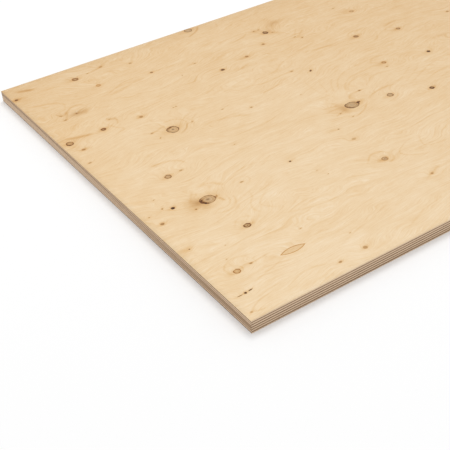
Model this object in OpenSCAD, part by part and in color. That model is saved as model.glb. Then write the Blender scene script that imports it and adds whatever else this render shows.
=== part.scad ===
// Plywood sheet: thin veneers glued with crossed grain, the face veneer mended with a boat-shaped insert.
// The sheet lies flat, face up, with its origin at the middle of its underside.
// The length and the grain of the two outer veneers run along X.

/* [Sheet] */
// Length of the sheet, along the grain of the face
sheet_length = 1200; // [600:1:2500]
// Width of the sheet, across the grain of the face
sheet_width = 600; // [300:1:1525]

/* [Veneers] */
// Number of veneers between the face and the back, odd so that the sheet stays flat
inner_count = 9; // [1:2:19]
// Thickness of one inner veneer
inner_thickness = 1.4; // [0.8:0.1:3]
// Thickness of the face veneer after sanding
face_thickness = 1.2; // [0.6:0.1:3]
// Thickness of the back veneer after sanding
back_thickness = 1.2; // [0.6:0.1:3]

/* [Face patch] */
// Length of the patch from tip to tip, along the grain
patch_length = 30; // [20:0.5:80]
// Width of the patch at its middle
patch_width = 8; // [6:0.5:16]
// Distance from the end of the sheet to the middle of the patch
patch_from_end = 95; // [60:1:540]
// Distance from the side of the sheet to the middle of the patch
patch_from_side = 62; // [20:1:280]
// Glue line between the patch and its pocket
patch_glue_gap = 0.1; // [0.05:0.05:0.3]

/* [Hidden] */
// How far a cut runs past the veneer that it goes through
cut_margin = 1;
// Circles are drawn fine, because the arcs of the patch are long and shallow
$fn = 360;

// Heights of the layers above the underside
inner_bottom = back_thickness;
face_bottom = inner_bottom + inner_count * inner_thickness;

// The patch outline is the overlap of two equal circles whose centres lie on a line across the grain
patch_sagitta = patch_width / 2;
patch_radius = (pow(patch_length / 2, 2) + pow(patch_sagitta, 2)) / (2 * patch_sagitta);
patch_centre_offset = patch_radius - patch_sagitta;
patch_x = patch_from_end - sheet_length / 2;
patch_y = patch_from_side - sheet_width / 2;

// Wood colours: long grain shows pale and warm, grain across the sheet shows a little darker
long_grain_colour = [0.93, 0.82, 0.67];
cross_grain_colour = [0.80, 0.67, 0.52];
patch_colour = [0.91, 0.79, 0.62];

// Inner veneers are counted from the face down, and the first one crosses the face
function is_cross(layer) = layer % 2 == 1;
function inner_name(layer) =
    is_cross(layer) ? str("cross_veneer_", (layer + 1) / 2) : str("core_veneer_", layer / 2);
function inner_height(layer) = face_bottom - layer * inner_thickness;

// A whole sheet of veneer with its underside at the given height
module veneer(height, thickness) {
    translate([-sheet_length / 2, -sheet_width / 2, height])
        cube([sheet_length, sheet_width, thickness]);
}

// An upright prism with the boat-shaped outline, made larger all round by the given clearance
module boat_prism(height, thickness, clearance) {
    translate([patch_x, patch_y, height])
        intersection_for(side = [-1, 1])
            translate([0, side * patch_centre_offset, 0])
                cylinder(h = thickness, r = patch_radius + clearance);
}

module face_veneer() {
    color(long_grain_colour)
        difference() {
            veneer(face_bottom, face_thickness);
            boat_prism(face_bottom - cut_margin, face_thickness + 2 * cut_margin, patch_glue_gap);
        }
}

module face_patch() {
    color(patch_colour)
        boat_prism(face_bottom, face_thickness, 0);
}

module inner_veneer(layer) {
    color(is_cross(layer) ? cross_grain_colour : long_grain_colour)
        veneer(inner_height(layer), inner_thickness);
}

module back_veneer() {
    color(long_grain_colour)
        veneer(0, back_thickness);
}

face_veneer();
face_patch();
for (layer = [1 : inner_count])
    inner_veneer(layer);
back_veneer();
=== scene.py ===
import math
from collections import namedtuple

import bmesh
import bpy
import numpy as np
from mathutils import Matrix, Vector
from mathutils.geometry import delaunay_2d_cdt


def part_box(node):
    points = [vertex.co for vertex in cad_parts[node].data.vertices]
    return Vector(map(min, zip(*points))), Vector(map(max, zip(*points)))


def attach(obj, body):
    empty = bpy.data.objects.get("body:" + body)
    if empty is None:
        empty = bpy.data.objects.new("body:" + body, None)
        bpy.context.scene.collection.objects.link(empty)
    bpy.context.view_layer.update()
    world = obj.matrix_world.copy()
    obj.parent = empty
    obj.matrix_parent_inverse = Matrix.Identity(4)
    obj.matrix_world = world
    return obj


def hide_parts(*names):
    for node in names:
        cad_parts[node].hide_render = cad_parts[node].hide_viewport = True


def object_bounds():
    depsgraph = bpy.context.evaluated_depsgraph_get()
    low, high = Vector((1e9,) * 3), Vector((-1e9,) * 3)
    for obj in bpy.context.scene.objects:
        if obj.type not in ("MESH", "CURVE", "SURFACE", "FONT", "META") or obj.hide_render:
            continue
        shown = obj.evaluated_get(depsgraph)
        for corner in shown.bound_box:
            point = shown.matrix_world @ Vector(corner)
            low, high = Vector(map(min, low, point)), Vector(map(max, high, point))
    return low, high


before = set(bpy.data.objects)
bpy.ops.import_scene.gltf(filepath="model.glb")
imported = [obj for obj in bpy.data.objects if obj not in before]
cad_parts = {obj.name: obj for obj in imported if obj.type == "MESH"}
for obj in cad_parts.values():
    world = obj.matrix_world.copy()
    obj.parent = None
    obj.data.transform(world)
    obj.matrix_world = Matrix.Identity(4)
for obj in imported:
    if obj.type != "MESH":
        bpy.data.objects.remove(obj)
cad_low, cad_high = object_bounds()

# Plywood sheet of birch veneers laid crosswise, with a knotty face and a boat-shaped patch.
# Places on the sheet are in millimetres along its length and across its width, from the near corner.
MM = 0.001

# Sizes from the frame
sheet_length = (cad_high.x - cad_low.x) / MM
sheet_width = (cad_high.y - cad_low.y) / MM
face_low, face_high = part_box("face_veneer")
back_low, back_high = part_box("back_veneer")
patch_low, patch_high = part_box("face_patch")
inner_names = [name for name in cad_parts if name.startswith(("cross_veneer", "core_veneer"))]

# The patch outline is the overlap of two equal circles set apart across the grain
patch_half_length = (patch_high.x - patch_low.x) / MM / 2
patch_half_width = (patch_high.y - patch_low.y) / MM / 2
patch_along = ((patch_high.x + patch_low.x) / 2 - cad_low.x) / MM
patch_across = ((patch_high.y + patch_low.y) / 2 - cad_low.y) / MM
patch_radius = (patch_half_length ** 2 + patch_half_width ** 2) / (2 * patch_half_width)
patch_offset = patch_radius - patch_half_width

# Width of the glue line between the patch and its pocket
PATCH_GLUE_GAP = 0.1

# Knots: radius is half the width across the grain, stretch lengthens it along its turn.
# Core, rim, pith and bark are how much brown the wood has taken up there, warm is how much tan.
# A knot with bark has a dark crescent at bark_side, in degrees from the grain direction.
Knot = namedtuple(
    "Knot", "along across radius core rim warm pith bark bark_side stretch turn", defaults=(0, 0, 0, 1, 0)
)

FACE_KNOTS = [
    Knot(77, 192.5, 8, core=0.64, rim=1.6, warm=0.18, pith=1.2, bark=1.7, bark_side=200, stretch=1.2),
    Knot(127.5, 351, 8.1, core=0.44, rim=2.7, warm=0.15, pith=1.4, bark=0.8, bark_side=120, stretch=0.95),
    Knot(333.5, 253.5, 7.8, core=0.76, rim=3.1, warm=0.06, pith=0.2, bark=0.9, bark_side=215, stretch=1.25),
    Knot(11.5, 405, 4.9, core=0.60, rim=2.3, warm=0.65, bark=0.9, bark_side=215, stretch=0.94),
    Knot(60.5, 409.5, 3.4, core=1.45, rim=1.0, warm=0.75),
    Knot(67, 261, 3.9, core=0.62, rim=2.0, warm=0.3, pith=0.5),
    Knot(83.2, 125.2, 3.6, core=0.80, rim=3.0, warm=0.60, pith=3.2, stretch=1.12),
    Knot(31.5, 68.5, 3.6, core=0.24, rim=0.9, warm=0.80, stretch=1.05),
    Knot(95, 562, 4.4, core=0.90, rim=1.3, warm=0.75),
    Knot(300, 594, 6.2, core=0.76, rim=1.1, warm=0.05),
    Knot(381.5, 507.5, 4.4, core=1.35, rim=4.4, warm=0.50, pith=0.6, stretch=0.85),
    Knot(387, 242, 4.0, core=0.62, rim=2.6, warm=0.2, pith=0.7, stretch=1.02),
    Knot(439.5, 221.5, 2.9, core=2.10, rim=3.2, warm=0.30, stretch=1.05),
    Knot(279, 131.5, 3.8, core=0.66, rim=0.7, warm=0.25, pith=1.7),
    Knot(470, 406.5, 3.9, core=1.2, rim=0.6, warm=0.25, pith=1.2, stretch=0.92, turn=40),
    Knot(532, 386, 3.2, core=1.0, rim=0.8, warm=0.25, turn=20, stretch=0.9),
    Knot(443, 317, 3.4, core=0.60, rim=0.2, warm=0.65, turn=20, stretch=0.9),
    Knot(524, 480.5, 3.3, core=0.36, rim=0.4, warm=0.45),
    Knot(111.5, 523, 3.3, core=0.24, rim=0.0, warm=0.8),
]

# Small dark marks, such as pin knots, pith specks and flecks: place, radius, tone, stretch and turn
Spot = namedtuple("Spot", "along across radius tone stretch turn", defaults=(1, 0))

FACE_SPOTS = [Spot(*numbers) for numbers in (
    (38.5, 203, 2.6, 4.5), (511, 302, 2.9, 3.8, 1.1, 25), (19.3, 36.4, 1.6, 4.0),
    (25.5, 37.2, 0.9, 3.0, 3.2, 8), (12.5, 36, 0.6, 2.0, 7.0), (88.3, 192, 1.3, 1.0, 2.0, 58),
    (344.5, 254.3, 2.4, 2.6, 1.2), (70.3, 194.6, 1.5, 2.0, 1.4, 70), (71.5, 187.8, 1.5, 2.2, 1.3, 120),
    (126.5, 357, 1.6, 1.6, 1.8), (14.5, 184.5, 2.6, 1.6), (193.3, 197, 1.6, 3.2), (6, 560, 2.8, 2.2),
    (178.5, 554.5, 2.3, 1.0), (187, 508, 2.3, 1.8), (266, 447.5, 3.2, 2.6, 1.1, 20),
    (314.5, 459, 2.6, 1.5, 1.2), (355.5, 476.5, 2.5, 1.4, 1.1, 40), (354, 364, 1.6, 2.6, 2.0, 45),
    (113, 406, 3.0, 1.3), (18.5, 381, 2.4, 1.3, 1.2), (365.5, 277, 1.7, 1.7), (281, 188, 2.6, 0.8, 1.2),
    (282, 217.5, 0.9, 2.0, 1.2), (298, 75.3, 1.9, 1.2), (153, 19.3, 2.7, 1.3, 1.1),
    (119, 16.7, 1.7, 1.4, 1.3), (234, 333, 1.8, 1.2), (13.5, 128.6, 0.9, 2.4), (53, 470.7, 1.4, 1.6),
    (33.6, 463.8, 1.8, 1.0, 1.4, 20), (140.7, 573, 2.3, 0.9, 1.2, 30), (157.5, 399.6, 1.0, 1.0),
    (161.5, 399.6, 1.1, 1.0), (57, 184.6, 1.3, 1.5), (28.6, 209, 1.2, 1.1, 1.6, 60), (9.3, 204, 1.0, 1.2),
    (247.5, 490.7, 1.4, 1.0), (411, 456.5, 1.2, 1.2, 1.7, 50), (404.5, 465.3, 0.9, 0.9, 3.2, 10),
    (333.5, 379.3, 1.8, 0.9), (125.7, 197.4, 1.4, 1.1, 1.8), (10.5, 348, 1.3, 1.3, 1.8),
    (85.5, 263, 1.5, 0.9, 1.8), (49.3, 70.3, 1.3, 1.3, 1.5, 345), (315.4, 230, 1.1, 0.9, 1.4, 45),
    (308.3, 245.4, 1.1, 0.9, 1.4, 45), (122.4, 85.3, 0.6, 0.9, 3.5, 5), (8, 10.4, 1.4, 0.8),
    (626.5, 382, 2.4, 1.2), (510.5, 508.3, 1.5, 0.9), (438, 305, 1.5, 0.9), (371, 522.5, 1.5, 1.4),
    (379.3, 522.3, 1.3, 1.3, 1.4, 40), (102.3, 360, 1.2, 1.2, 1.4), (105, 343, 0.8, 1.0, 2.6, 60),
    (156.4, 352, 0.9, 1.0, 1.8, 60), (33, 478, 1.1, 1.0, 2.6, 300), (390, 501, 1.6, 0.7),
    (116.5, 567, 1.5, 0.9), (203, 353.3, 1.1, 0.8, 1.8), (214.5, 471, 0.6, 0.9, 4.0, 65),
    (210, 148, 0.6, 0.9, 2.4, 20), (205, 162, 0.7, 0.8, 1.6, 30), (157, 47.3, 0.6, 0.9, 2.2, 20),
    (34, 91, 0.8, 0.9), (46, 111, 0.8, 0.7), (165.5, 270.5, 0.9, 0.8), (30, 230, 0.7, 0.9, 2.0, 30),
    (302, 318, 0.9, 0.8), (70, 191.2, 1.3, 2.0, 1.3, 90), (77.8, 427, 1.0, 1.0),
)]

# Soft stains: place, half length, half width, turn in degrees, then how much brown and tan
Stain = namedtuple("Stain", "along across half_length half_width turn brown warm")

FACE_STAINS = [Stain(*numbers) for numbers in (
    (65, 193, 6, 6, 60, 0.40, 0.40), (60, 198, 9, 7, 55, 0.10, 0.32), (69, 182, 6, 4, 20, 0.14, 0.38),
    (54, 187, 9, 6, 0, 0.04, 0.26), (92, 194, 9, 6, 0, 0, -0.24), (86, 208, 12, 6, 350, 0, -0.16),
    (88, 176, 10, 7, 30, 0, -0.12), (89.5, 125, 3, 1.8, 0, 0.03, 0.40), (319, 253, 5, 8, 0, 0.20, 0.50),
    (308, 260, 14, 11, 50, 0, 0.24), (318, 243, 6, 4, 0, 0.02, 0.30), (411, 527, 12, 5, 12, 0.16, 0.57),
    (402, 520, 14, 9, 40, 0.04, 0.34), (409, 543, 5, 10, 0, 0.03, 0.24), (371, 519, 6, 7, 0, 0.06, 0.38),
    (392, 498, 9, 7, 300, 0.04, 0.34), (55, 470, 13, 6, 0, 0.22, 0.58), (64, 469, 4, 6, 340, 0.04, 0.50),
    (52.5, 470.3, 6, 4, 0, 0.16, 0), (57, 484, 8, 4, 0, 0, -0.26), (42, 480, 7, 4, 35, 0.06, 0.28),
    (27, 578, 11, 3, 338, 0.12, 0.74), (81, 427, 5.5, 3, 330, 0.12, 0.72),
    (515, 486, 9, 5, 30, 0.05, 0.47), (524, 386, 8, 3, 0, 0.05, 0.41), (434, 317, 7, 4, 0, 0.05, 0.34),
    (561.5, 328.7, 8, 2.2, 0, 0.05, 0.43), (548, 328, 6, 2, 30, 0.02, 0.30), (9, 129, 9, 5, 20, 0, 0.62),
    (6, 559, 9, 5, 0, 0.05, 0.54), (12, 391, 6, 8, 0, 0.03, 0.34), (21, 381, 5, 2.5, 0, 0.02, 0.45),
    (7, 419, 7, 7, 0, 0.02, 0.30), (31, 410, 13, 4, 352, 0, 0.26), (271, 132, 8, 3.5, 340, 0.02, 0.43),
    (259, 127, 3, 3, 0, 0, 0.34), (24, 69, 5, 4, 0, 0.04, 0.38), (40, 70, 5, 2.5, 0, 0.03, 0.41),
    (275, 218.5, 8, 2.5, 352, 0.02, 0.42), (306, 459, 7, 4, 0, 0.04, 0.34),
    (292, 434, 24, 4, 0, 0.02, 0.35), (346, 271, 4, 7, 320, 0.02, 0.41), (145, 552, 10, 6, 0, 0.02, 0.24),
    (275, 478, 26, 9, 25, 0, 0.19), (338, 427, 16, 4, 20, 0, 0.22), (420, 408, 40, 3.5, 352, 0, 0.19),
    (485, 316, 18, 3.5, 8, 0, 0.19), (216, 322, 12, 4, 320, 0.02, 0.22), (66, 292, 5, 2.5, 0, 0.03, 0.43),
    (86, 570, 5, 4, 0, 0.06, 0.16), (273, 583, 9, 6, 320, 0.02, 0.24), (300, 594, 11, 9, 0, -0.03, -0.28),
    (508, 592, 45, 9, 0, 0, 0.22),
)]

# Growth lines that stand out: half width, how much brown and tan, and the places that each passes
Streak = namedtuple("Streak", "half_width brown warm path")

FACE_STREAKS = [Streak(*numbers) for numbers in (
    (1.1, 0, 0.36, [(68, 166), (74, 162), (85, 160), (96, 165), (102, 174), (103, 184)]),
    (1.0, 0, 0.30, [(74, 171), (82, 167), (92, 170), (97, 178), (97, 187)]),
    (1.5, 0.05, 0.72, [(88, 189), (90, 184), (91, 178)]),
    (1.1, 0, 0.28, [(121, 178), (119, 166), (111, 159), (106, 150), (105, 142), (110, 134)]),
    (1.1, 0, 0.24, [(141, 168), (128, 160), (118, 152), (116, 147), (120, 140), (131, 130)]),
    (1.1, 0, 0.25, [(124, 119), (136, 115), (150, 110), (170, 106), (194, 106)]),
    (1.0, 0, 0.32, [(60, 20), (70, 24), (80, 27), (90, 27.5), (101, 25.5), (110, 20)]),
    (0.9, 0, 0.30, [(28, 40), (40, 46), (57, 50), (70, 54), (84, 58)]),
    (1.0, 0, 0.24, [(21, 74), (24, 82), (34, 88), (44, 88), (52, 84), (54, 76)]),
    (0.9, 0.03, 0.52, [(36, 72), (44, 73), (51, 70), (64, 72), (76, 73)]),
    (1.0, 0, 0.22, [(70, 128), (75, 137), (84, 143), (94, 139), (99, 131)]),
    (0.9, 0.01, 0.40, [(0, 5), (8, 10), (17, 17), (27, 21), (38, 22)]),
    (0.8, 0.01, 0.40, [(8, 10.5), (14, 8), (24, 6.5)]),
    (1.1, 0, 0.14, [(5, 63), (14, 54), (30, 51), (44, 55)]),
    (1.9, 0.03, 0.32, [(57, 197), (62, 204), (67, 211), (73, 218)]),
    (2.3, 0, 0.40, [(78, 217), (88, 222), (97, 219), (104, 211), (108, 204)]),
    (1.1, 0, 0.20, [(108, 206), (120, 211), (134, 219), (148, 222), (164, 220), (178, 213), (187, 206)]),
    (1.1, 0, 0.22, [(112, 195), (118, 204), (128, 208), (136, 205), (138, 198), (132, 191), (122, 188)]),
    (1.1, 0.10, 0.50, [(128, 336), (134, 337), (140, 340), (146, 347), (150, 355)]),
    (1.1, 0.01, 0.30, [(149, 350), (151, 358), (149, 366), (143, 372), (134, 374), (124, 372)]),
    (1.5, 0.05, 0.38, [(98, 355), (103, 360), (111, 361), (119, 365), (126, 364)]),
    (1.1, 0.02, 0.26, [(151, 345), (155, 350), (159, 357), (168, 364), (176, 368)]),
    (1.3, 0, 0.16, [(150, 338), (157, 346), (158, 357), (153, 369), (143, 378)]),
    (1.5, 0, 0.38, [(62, 293), (75, 292), (88, 289), (95, 284), (98, 277), (100, 269)]),
    (1.8, 0.01, 0.27, [(158, 336), (186, 334), (205, 328), (224, 317)]),
    (2.4, 0.09, 0.78, [(11, 419), (19, 415), (28, 412), (38, 410), (47, 409)]),
    (1.8, 0.03, 0.52, [(114, 566), (124, 567.5), (133, 570), (140, 573), (147, 579), (154, 587)]),
    (1.3, 0.03, 0.52, [(32, 477), (37, 475), (43, 481), (50, 488), (58, 492), (66, 491), (72, 486)]),
    (1.1, 0.10, 0.30, [(29, 485), (31, 480), (35, 475)]),
    (1.1, 0, 0.20, [(93, 483), (84, 478), (78, 472), (82, 466), (92, 460), (104, 455)]),
    (1.2, 0.01, 0.40, [(98, 489), (112, 493), (126, 499), (138, 507), (152, 510), (178, 508)]),
    (2.0, 0.01, 0.32, [(102, 485), (118, 487), (134, 490), (147, 497), (160, 500), (172, 497)]),
    (1.4, 0.01, 0.40, [(188, 508), (205, 508), (226, 507)]),
    (1.3, 0, 0.26, [(100, 470), (112, 473), (122, 468), (130, 463), (145, 464), (158, 458), (172, 456)]),
    (1.3, 0, 0.26, [(168, 456), (180, 457), (190, 459), (208, 463)]),
    (1.2, 0.02, 0.34, [(84, 428), (86, 421), (84, 415), (80, 409)]),
    (1.2, 0, 0.34, [(72, 412), (75, 403), (82, 397), (81, 391), (70, 389)]),
    (1.3, 0, 0.20, [(70, 432), (68, 422), (72, 411), (76, 404)]),
    (1.3, 0, 0.30, [(0, 526), (18, 525), (34, 521), (46, 513), (52, 505), (48, 495), (40, 484)]),
    (2.2, 0.05, 0.52, [(15, 580), (24, 578), (32, 575), (39, 573)]),
    (1.0, 0.02, 0.32, [(110, 597), (122, 592), (130, 583), (134, 575)]),
    (1.1, 0.02, 0.70, [(277, 123), (283, 123), (289, 126), (293, 132)]),
    (1.2, 0, 0.48, [(256, 135), (263, 141), (271, 148), (281, 149), (289, 144), (291, 136)]),
    (1.0, 0, 0.34, [(336, 147), (320, 143), (306, 136), (299, 130), (303, 122), (314, 114), (328, 108)]),
    (1.0, 0, 0.30, [(346, 147), (340, 139), (333, 127), (337, 121), (350, 118), (368, 117)]),
    (1.4, 0.02, 0.32, [(283, 69), (291, 73), (298, 76), (308, 80), (320, 84)]),
    (1.0, 0, 0.20, [(112, 63), (135, 69), (160, 74), (190, 79), (225, 80)]),
    (1.0, 0, 0.14, [(130, 34), (160, 46), (190, 52), (220, 56)]),
    (1.0, 0, 0.16, [(205, 14), (225, 24), (250, 33), (280, 36)]),
    (1.5, 0.02, 0.50, [(360, 253), (372, 259), (386, 262), (401, 263), (412, 260)]),
    (1.3, 0, 0.30, [(374, 229), (386, 230), (394, 235), (399, 241)]),
    (1.1, 0.01, 0.52, [(316, 226), (330, 231), (342, 237), (350, 245)]),
    (1.3, 0.02, 0.40, [(341, 266), (345, 273), (352, 277), (362, 277), (380, 276)]),
    (1.1, 0.03, 0.34, [(321, 262), (310, 266), (297, 268)]),
    (1.1, 0.03, 0.34, [(320, 257), (308, 258), (295, 257)]),
    (1.1, 0.03, 0.34, [(321, 249), (309, 247), (299, 242)]),
    (1.1, 0.03, 0.30, [(323, 265), (315, 273), (306, 281)]),
    (1.3, 0, 0.26, [(348, 280), (357, 296), (368, 307), (380, 314), (394, 316), (424, 317)]),
    (1.2, 0, 0.26, [(343, 288), (351, 303), (361, 316), (372, 325), (386, 331), (402, 335), (424, 336)]),
    (1.2, 0, 0.22, [(337, 290), (344, 306), (353, 320), (364, 330)]),
    (1.1, 0, 0.18, [(330, 296), (334, 308), (337, 320), (344, 334)]),
    (1.2, 0, 0.14, [(333, 272), (327, 290), (323, 310), (325, 332), (330, 350)]),
    (1.2, 0, 0.28, [(352, 283), (364, 297), (378, 306), (392, 309)]),
    (1.3, 0, 0.34, [(427, 323), (432, 333), (443, 338), (455, 337), (464, 330)]),
    (1.4, 0, 0.26, [(294, 393), (313, 394), (322, 397), (331, 405), (342, 411), (358, 417), (376, 423)]),
    (1.5, 0.01, 0.36, [(374, 422), (390, 426), (404, 430), (418, 435)]),
    (1.4, 0.01, 0.30, [(382, 416), (394, 413), (406, 412), (430, 408)]),
    (1.5, 0.01, 0.30, [(258, 384), (272, 380), (284, 376), (300, 377), (318, 380), (332, 381), (352, 382)]),
    (1.4, 0.01, 0.32, [(262, 355), (280, 356), (295, 360), (312, 361)]),
    (1.5, 0.01, 0.55, [(520, 404), (531, 408), (542, 410), (551, 410)]),
    (1.3, 0, 0.48, [(478, 379), (488, 381), (495, 389)]),
    (1.2, 0, 0.30, [(460, 411), (465, 420), (475, 424), (488, 421), (502, 418)]),
    (1.1, 0, 0.24, [(420, 246), (440, 253), (462, 263), (480, 271), (500, 275), (522, 277)]),
    (1.1, 0, 0.18, [(424, 256), (446, 265), (466, 277), (480, 288)]),
    (1.1, 0, 0.36, [(456, 245), (476, 250), (500, 252)]),
    (1.0, 0, 0.16, [(410, 262), (430, 268), (452, 280), (470, 292)]),
    (1.0, 0, 0.18, [(448, 226), (464, 234), (484, 240), (510, 243)]),
    (1.4, 0.05, 0.75, [(286, 571), (297, 577), (307, 582), (314, 589), (319, 598)]),
    (1.3, 0, 0.34, [(312, 511), (326, 513), (340, 514), (349, 517), (356, 522), (360, 528)]),
    (1.1, 0, 0.24, [(424, 489), (416, 480), (408, 470), (400, 460)]),
    (1.1, 0, 0.26, [(386, 503), (396, 496), (403, 486), (404, 476)]),
    (1.3, 0.01, 0.46, [(413, 468), (420, 472), (428, 478)]),
    (1.3, 0, 0.28, [(339, 573), (344, 582), (347, 592)]),
)]

Marks = namedtuple("Marks", "knots spots stains streaks")

# Growth lines: their slope, their waves (length, width and height) and how they lift round a knot.
# The last of the waves also makes the swirls round the knots uneven.
GRAIN_SLOPE = 0.10
GRAIN_WAVES = ((620, 300, 12), (210, 90, 5), (60, 26, 1.6))
KNOT_LIFT = 7.5
KNOT_REACH = 2.4
SWIRL_STRETCH = 1.2
SWIRL_UNEVENNESS = 0.16

# Strewn marks: distance from the sides, least and added radius, and the radius above which one is a full knot
STREWN_MARGIN = 12
LEAST_RADIUS = 1.2
ADDED_RADIUS = 7.5
FULL_KNOT = 3.2


def strewn_marks(seed, count, along_from, along_to):
    """Knots and pin knots strewn over a part of a veneer, with a stain and a growth line at each knot."""
    draw = np.random.RandomState(seed)
    marks = Marks([], [], [], [])
    for _ in range(count):
        along = draw.uniform(along_from, along_to)
        across = draw.uniform(STREWN_MARGIN, sheet_width - STREWN_MARGIN)
        radius = LEAST_RADIUS + ADDED_RADIUS * draw.uniform() ** 2.5
        tone = draw.uniform(0.7, 2.0)
        warm = draw.uniform(0.15, 0.6)
        pith = draw.uniform(0, 1.8)
        side = draw.choice((-1, 1))
        start = draw.uniform(0, 360)
        reach = radius * draw.uniform(2.0, 3.2)
        if radius <= FULL_KNOT:
            marks.spots.append(Spot(along, across, radius, tone))
            continue
        marks.knots.append(Knot(along, across, radius, tone * 0.7, tone * 0.8, warm, pith))
        beside = along + 1.5 * side * radius
        stain = Stain(beside, across, 1.3 * radius, 0.7 * radius, turn=0, brown=0.08, warm=0.30)
        marks.stains.append(stain)
        turns = np.radians(start + np.linspace(0, 150, 6))
        path = np.stack([along + SWIRL_STRETCH * reach * np.cos(turns), across + reach * np.sin(turns)], 1)
        marks.streaks.append(Streak(half_width=1.1, brown=0.02, warm=0.16, path=path))
    return marks


# Fields over a veneer, worked out at the points of its mesh

def smooth_field(seed, along_wave, across_wave, count=24):
    """A smooth random surface of unit height whose waves are about so long and so wide."""
    draw = np.random.RandomState(seed)
    along_turns = draw.normal(0, 1, count) * 2 * math.pi / along_wave
    across_turns = draw.normal(0, 1, count) * 2 * math.pi / across_wave
    phases = draw.uniform(0, 2 * math.pi, count)

    def field(along, across):
        angles = np.multiply.outer(along, along_turns) + np.multiply.outer(across, across_turns) + phases
        return np.cos(angles).sum(-1) * math.sqrt(2 / count)

    return field


def bell(distance, middle, half_width):
    """One at the middle, falling away smoothly on both sides."""
    return np.exp(-((distance - middle) / half_width) ** 2)


def mark_place(mark, along, across):
    """Place in the mark's own axes, in its own half lengths."""
    turn = math.radians(mark.turn)
    step_along = along - mark.along
    step_across = across - mark.across
    lengthwise = step_along * math.cos(turn) + step_across * math.sin(turn)
    crosswise = step_across * math.cos(turn) - step_along * math.sin(turn)
    if isinstance(mark, Stain):
        return lengthwise / mark.half_length, crosswise / mark.half_width
    return lengthwise / (mark.radius * mark.stretch), crosswise / mark.radius


def growth_field(marks, seed):
    """Height across the grain of the growth line through each place: it lifts round every knot."""
    waves = [smooth_field(seed + step, length, width) for step, (length, width, _) in enumerate(GRAIN_WAVES)]

    def field(along, across):
        ripples = [wave(along, across) for wave in waves]
        growth = across - GRAIN_SLOPE * along
        for ripple, (_, _, height) in zip(ripples, GRAIN_WAVES):
            growth = growth + height * ripple
        unevenness = 1 + SWIRL_UNEVENNESS * ripples[-1]
        for mark in [*marks.knots, *marks.spots]:
            distance = np.hypot((along - mark.along) / SWIRL_STRETCH, across - mark.across) * unevenness
            growth = growth + KNOT_LIFT * mark.radius * np.exp(-distance / (KNOT_REACH * mark.radius))
        return growth

    return field


# Streaks: how often corners are cut, the distance between points, and the reach in half widths
CORNER_CUTS = 3
STREAK_STEP = 2.5
STREAK_REACH = 4
OUT_OF_REACH = 99.0


def streak_points(streak):
    """Points evenly spaced along the path of a streak, with its corners rounded off."""
    path = np.array(streak.path, float)
    for _ in range(CORNER_CUTS):
        early = path[:-1] * 0.75 + path[1:] * 0.25
        late = path[:-1] * 0.25 + path[1:] * 0.75
        path = np.vstack([path[:1], np.stack([early, late], 1).reshape(-1, 2), path[-1:]])
    run = np.concatenate([[0], np.cumsum(np.hypot(*np.diff(path, axis=0).T))])
    places = np.linspace(0, run[-1], max(3, round(run[-1] / STREAK_STEP)))
    return np.stack([np.interp(places, run, path[:, 0]), np.interp(places, run, path[:, 1])], 1)


def streak_distance(streak, along, across):
    """Distance from the path of a streak, in its half widths, and the share of the path up to there."""
    path = streak_points(streak)
    step = np.diff(path, axis=0)
    distance = np.full(len(along), OUT_OF_REACH)
    share = np.zeros(len(along))
    places = np.stack([along, across], 1)
    margin = STREAK_REACH * streak.half_width
    inside = ((places > path.min(0) - margin) & (places < path.max(0) + margin)).all(1)
    if inside.any():
        away = places[inside][:, None] - path[:-1]
        part = ((away * step).sum(-1) / (step ** 2).sum(-1)).clip(0, 1)
        gap = np.linalg.norm(away - part[..., None] * step, axis=-1)
        nearest = gap.argmin(1)
        number = np.arange(len(gap))
        distance[inside] = gap[number, nearest] / streak.half_width
        share[inside] = (nearest + part[number, nearest]) / len(step)
    return distance, share


# Stain round a knot, in its radii: its start, the spread of its halo, squared, and its wings along the grain
STAIN_START = 0.3
HALO_SPREAD = 2.6
WING_LENGTH = 2.8
WING_WIDTH = 0.8
WING_SLOPE = 0.15

# How much tan and brown they take from a knot, and the share of a pin knot's tone that counts, up to a limit
HALO_TAN = 0.58
WING_TAN = 0.50
WING_BROWN = 0.04
SPOT_SHARE = 0.4
SPOT_LIMIT = 1.5


def stain_field(marks, along, across):
    """How much brown and tan has soaked into the wood round knots, in stains and along streaks."""
    brown = np.zeros_like(along)
    warm = np.zeros_like(along)
    for mark in [*marks.knots, *marks.spots]:
        distance = np.hypot(*mark_place(mark, along, across))
        lengthwise = (along - mark.along) / mark.radius
        crosswise = (across - mark.across) / mark.radius - WING_SLOPE * lengthwise
        outside = np.clip((distance - STAIN_START) / (1 - STAIN_START), 0, 1)
        halo = outside * np.exp(-distance ** 2 / HALO_SPREAD)
        wings = outside * np.exp(-(lengthwise / WING_LENGTH) ** 2 - (crosswise / WING_WIDTH) ** 2)
        strength = mark.core if isinstance(mark, Knot) else min(mark.tone, SPOT_LIMIT) * SPOT_SHARE
        brown += strength * WING_BROWN * wings
        warm += strength ** 0.5 * (HALO_TAN * halo + WING_TAN * wings)
    for stain in marks.stains:
        lengthwise, crosswise = mark_place(stain, along, across)
        soak = np.exp(-(lengthwise ** 2 + crosswise ** 2))
        brown += stain.brown * soak
        warm += stain.warm * soak
    for streak in marks.streaks:
        distance, share = streak_distance(streak, along, across)
        soak = np.exp(-distance ** 2) * np.clip(6 * share * (1 - share), 0, 1)
        brown += streak.brown * soak
        warm += streak.warm * soak
    return brown, warm


def spot_field(spots, along, across):
    """One at the middle of a spot and nought at its rim, with the tone of the nearest spot."""
    cone = np.full_like(along, -1.0)
    tone = np.zeros_like(along)
    for spot in spots:
        height = 1 - np.hypot(*mark_place(spot, along, across))
        nearer = height > cone
        cone[nearer] = height[nearer]
        tone[nearer] = spot.tone
    return cone, tone


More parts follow.
